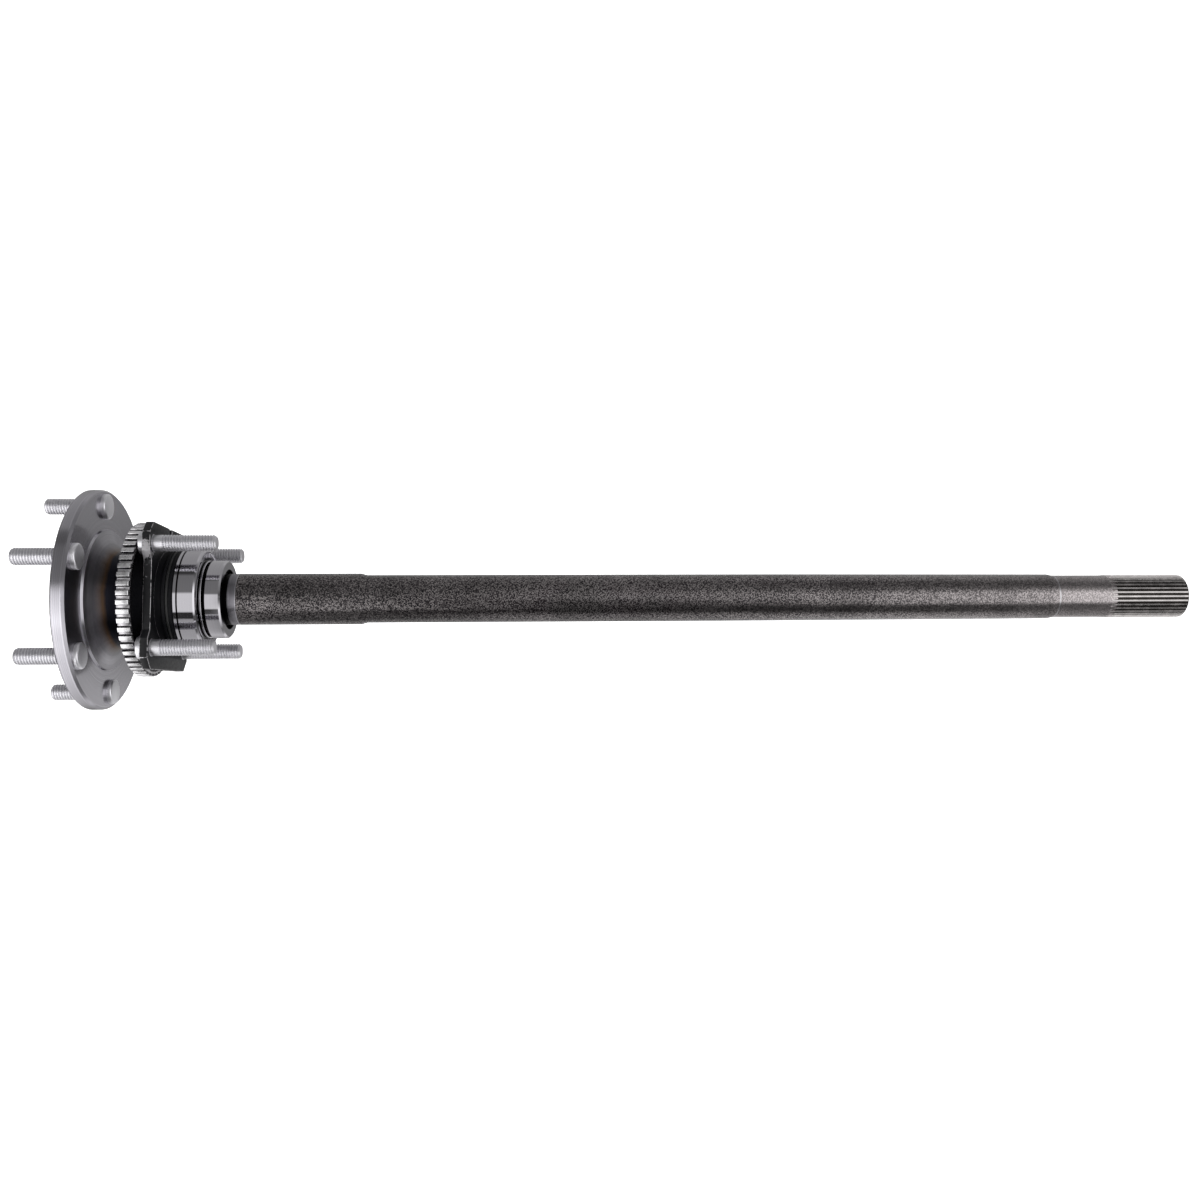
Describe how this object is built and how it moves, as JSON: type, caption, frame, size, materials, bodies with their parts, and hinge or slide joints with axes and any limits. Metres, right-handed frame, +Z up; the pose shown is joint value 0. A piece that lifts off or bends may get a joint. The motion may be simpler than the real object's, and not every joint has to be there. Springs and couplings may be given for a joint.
{
  "type": "axle shaft",
  "caption": "Flanged axle shaft with wheel studs, toothed speed ring, studded bearing retainer, sealed ball bearing, pressed collar and splined end.",
  "frame": {"origin": "on the shaft's axis, at the face of the flange that the wheel sits on", "axes": "+X along the shaft to the splined end; the retainer's studs stand in a square along Y and Z; +Z up, with the plate's notch on top"},
  "size_m": [0.8797, 0.1648, 0.1648],
  "materials": {
    "forged_steel": "forged and shot, turned bright on the flange and seats",
    "stud_steel": "matt zinc",
    "ring_steel": "bright steel",
    "black_paint": "satin black, worn at the lugs",
    "rubber": "matt",
    "spring_steel": "drawn wire",
    "ground_steel": "ground bright",
    "cage_plastic": "moulded"
  },
  "bodies": {
    "retainer": {"bearing_retainer": "black_paint", "retainer_studs": "stud_steel", "oil_seal": "rubber", "seal_spring": "spring_steel", "pilot_o_ring": "rubber", "bearing_outer_ring": "ground_steel", "bearing_seal_outboard": "rubber", "bearing_seal_inboard": "rubber"},
    "axle": {"axle_shaft": "forged_steel", "wheel_studs": "stud_steel", "tone_ring": "ring_steel", "bearing_inner_ring": "ground_steel", "slinger_outboard": "ground_steel", "slinger_inboard": "ground_steel", "retaining_collar": "ground_steel"},
    "ball_set": {"bearing_balls": "ground_steel", "bearing_cage": "cage_plastic"}
  },
  "joints": [
    {"name": "axle_spin", "type": "hinge", "parent": "retainer", "child": "axle", "pos_m": [0.07595, 0, 0], "axis": [1, 0, 0], "continuous": true},
    {"name": "cage_orbit", "type": "hinge", "parent": "retainer", "child": "ball_set", "pos_m": [0.07595, 0, 0], "axis": [1, 0, 0], "continuous": true}
  ],
  "couplings": [
    {"joint": "cage_orbit", "follows": "axle_spin", "ratio": 0.41789}
  ]
}
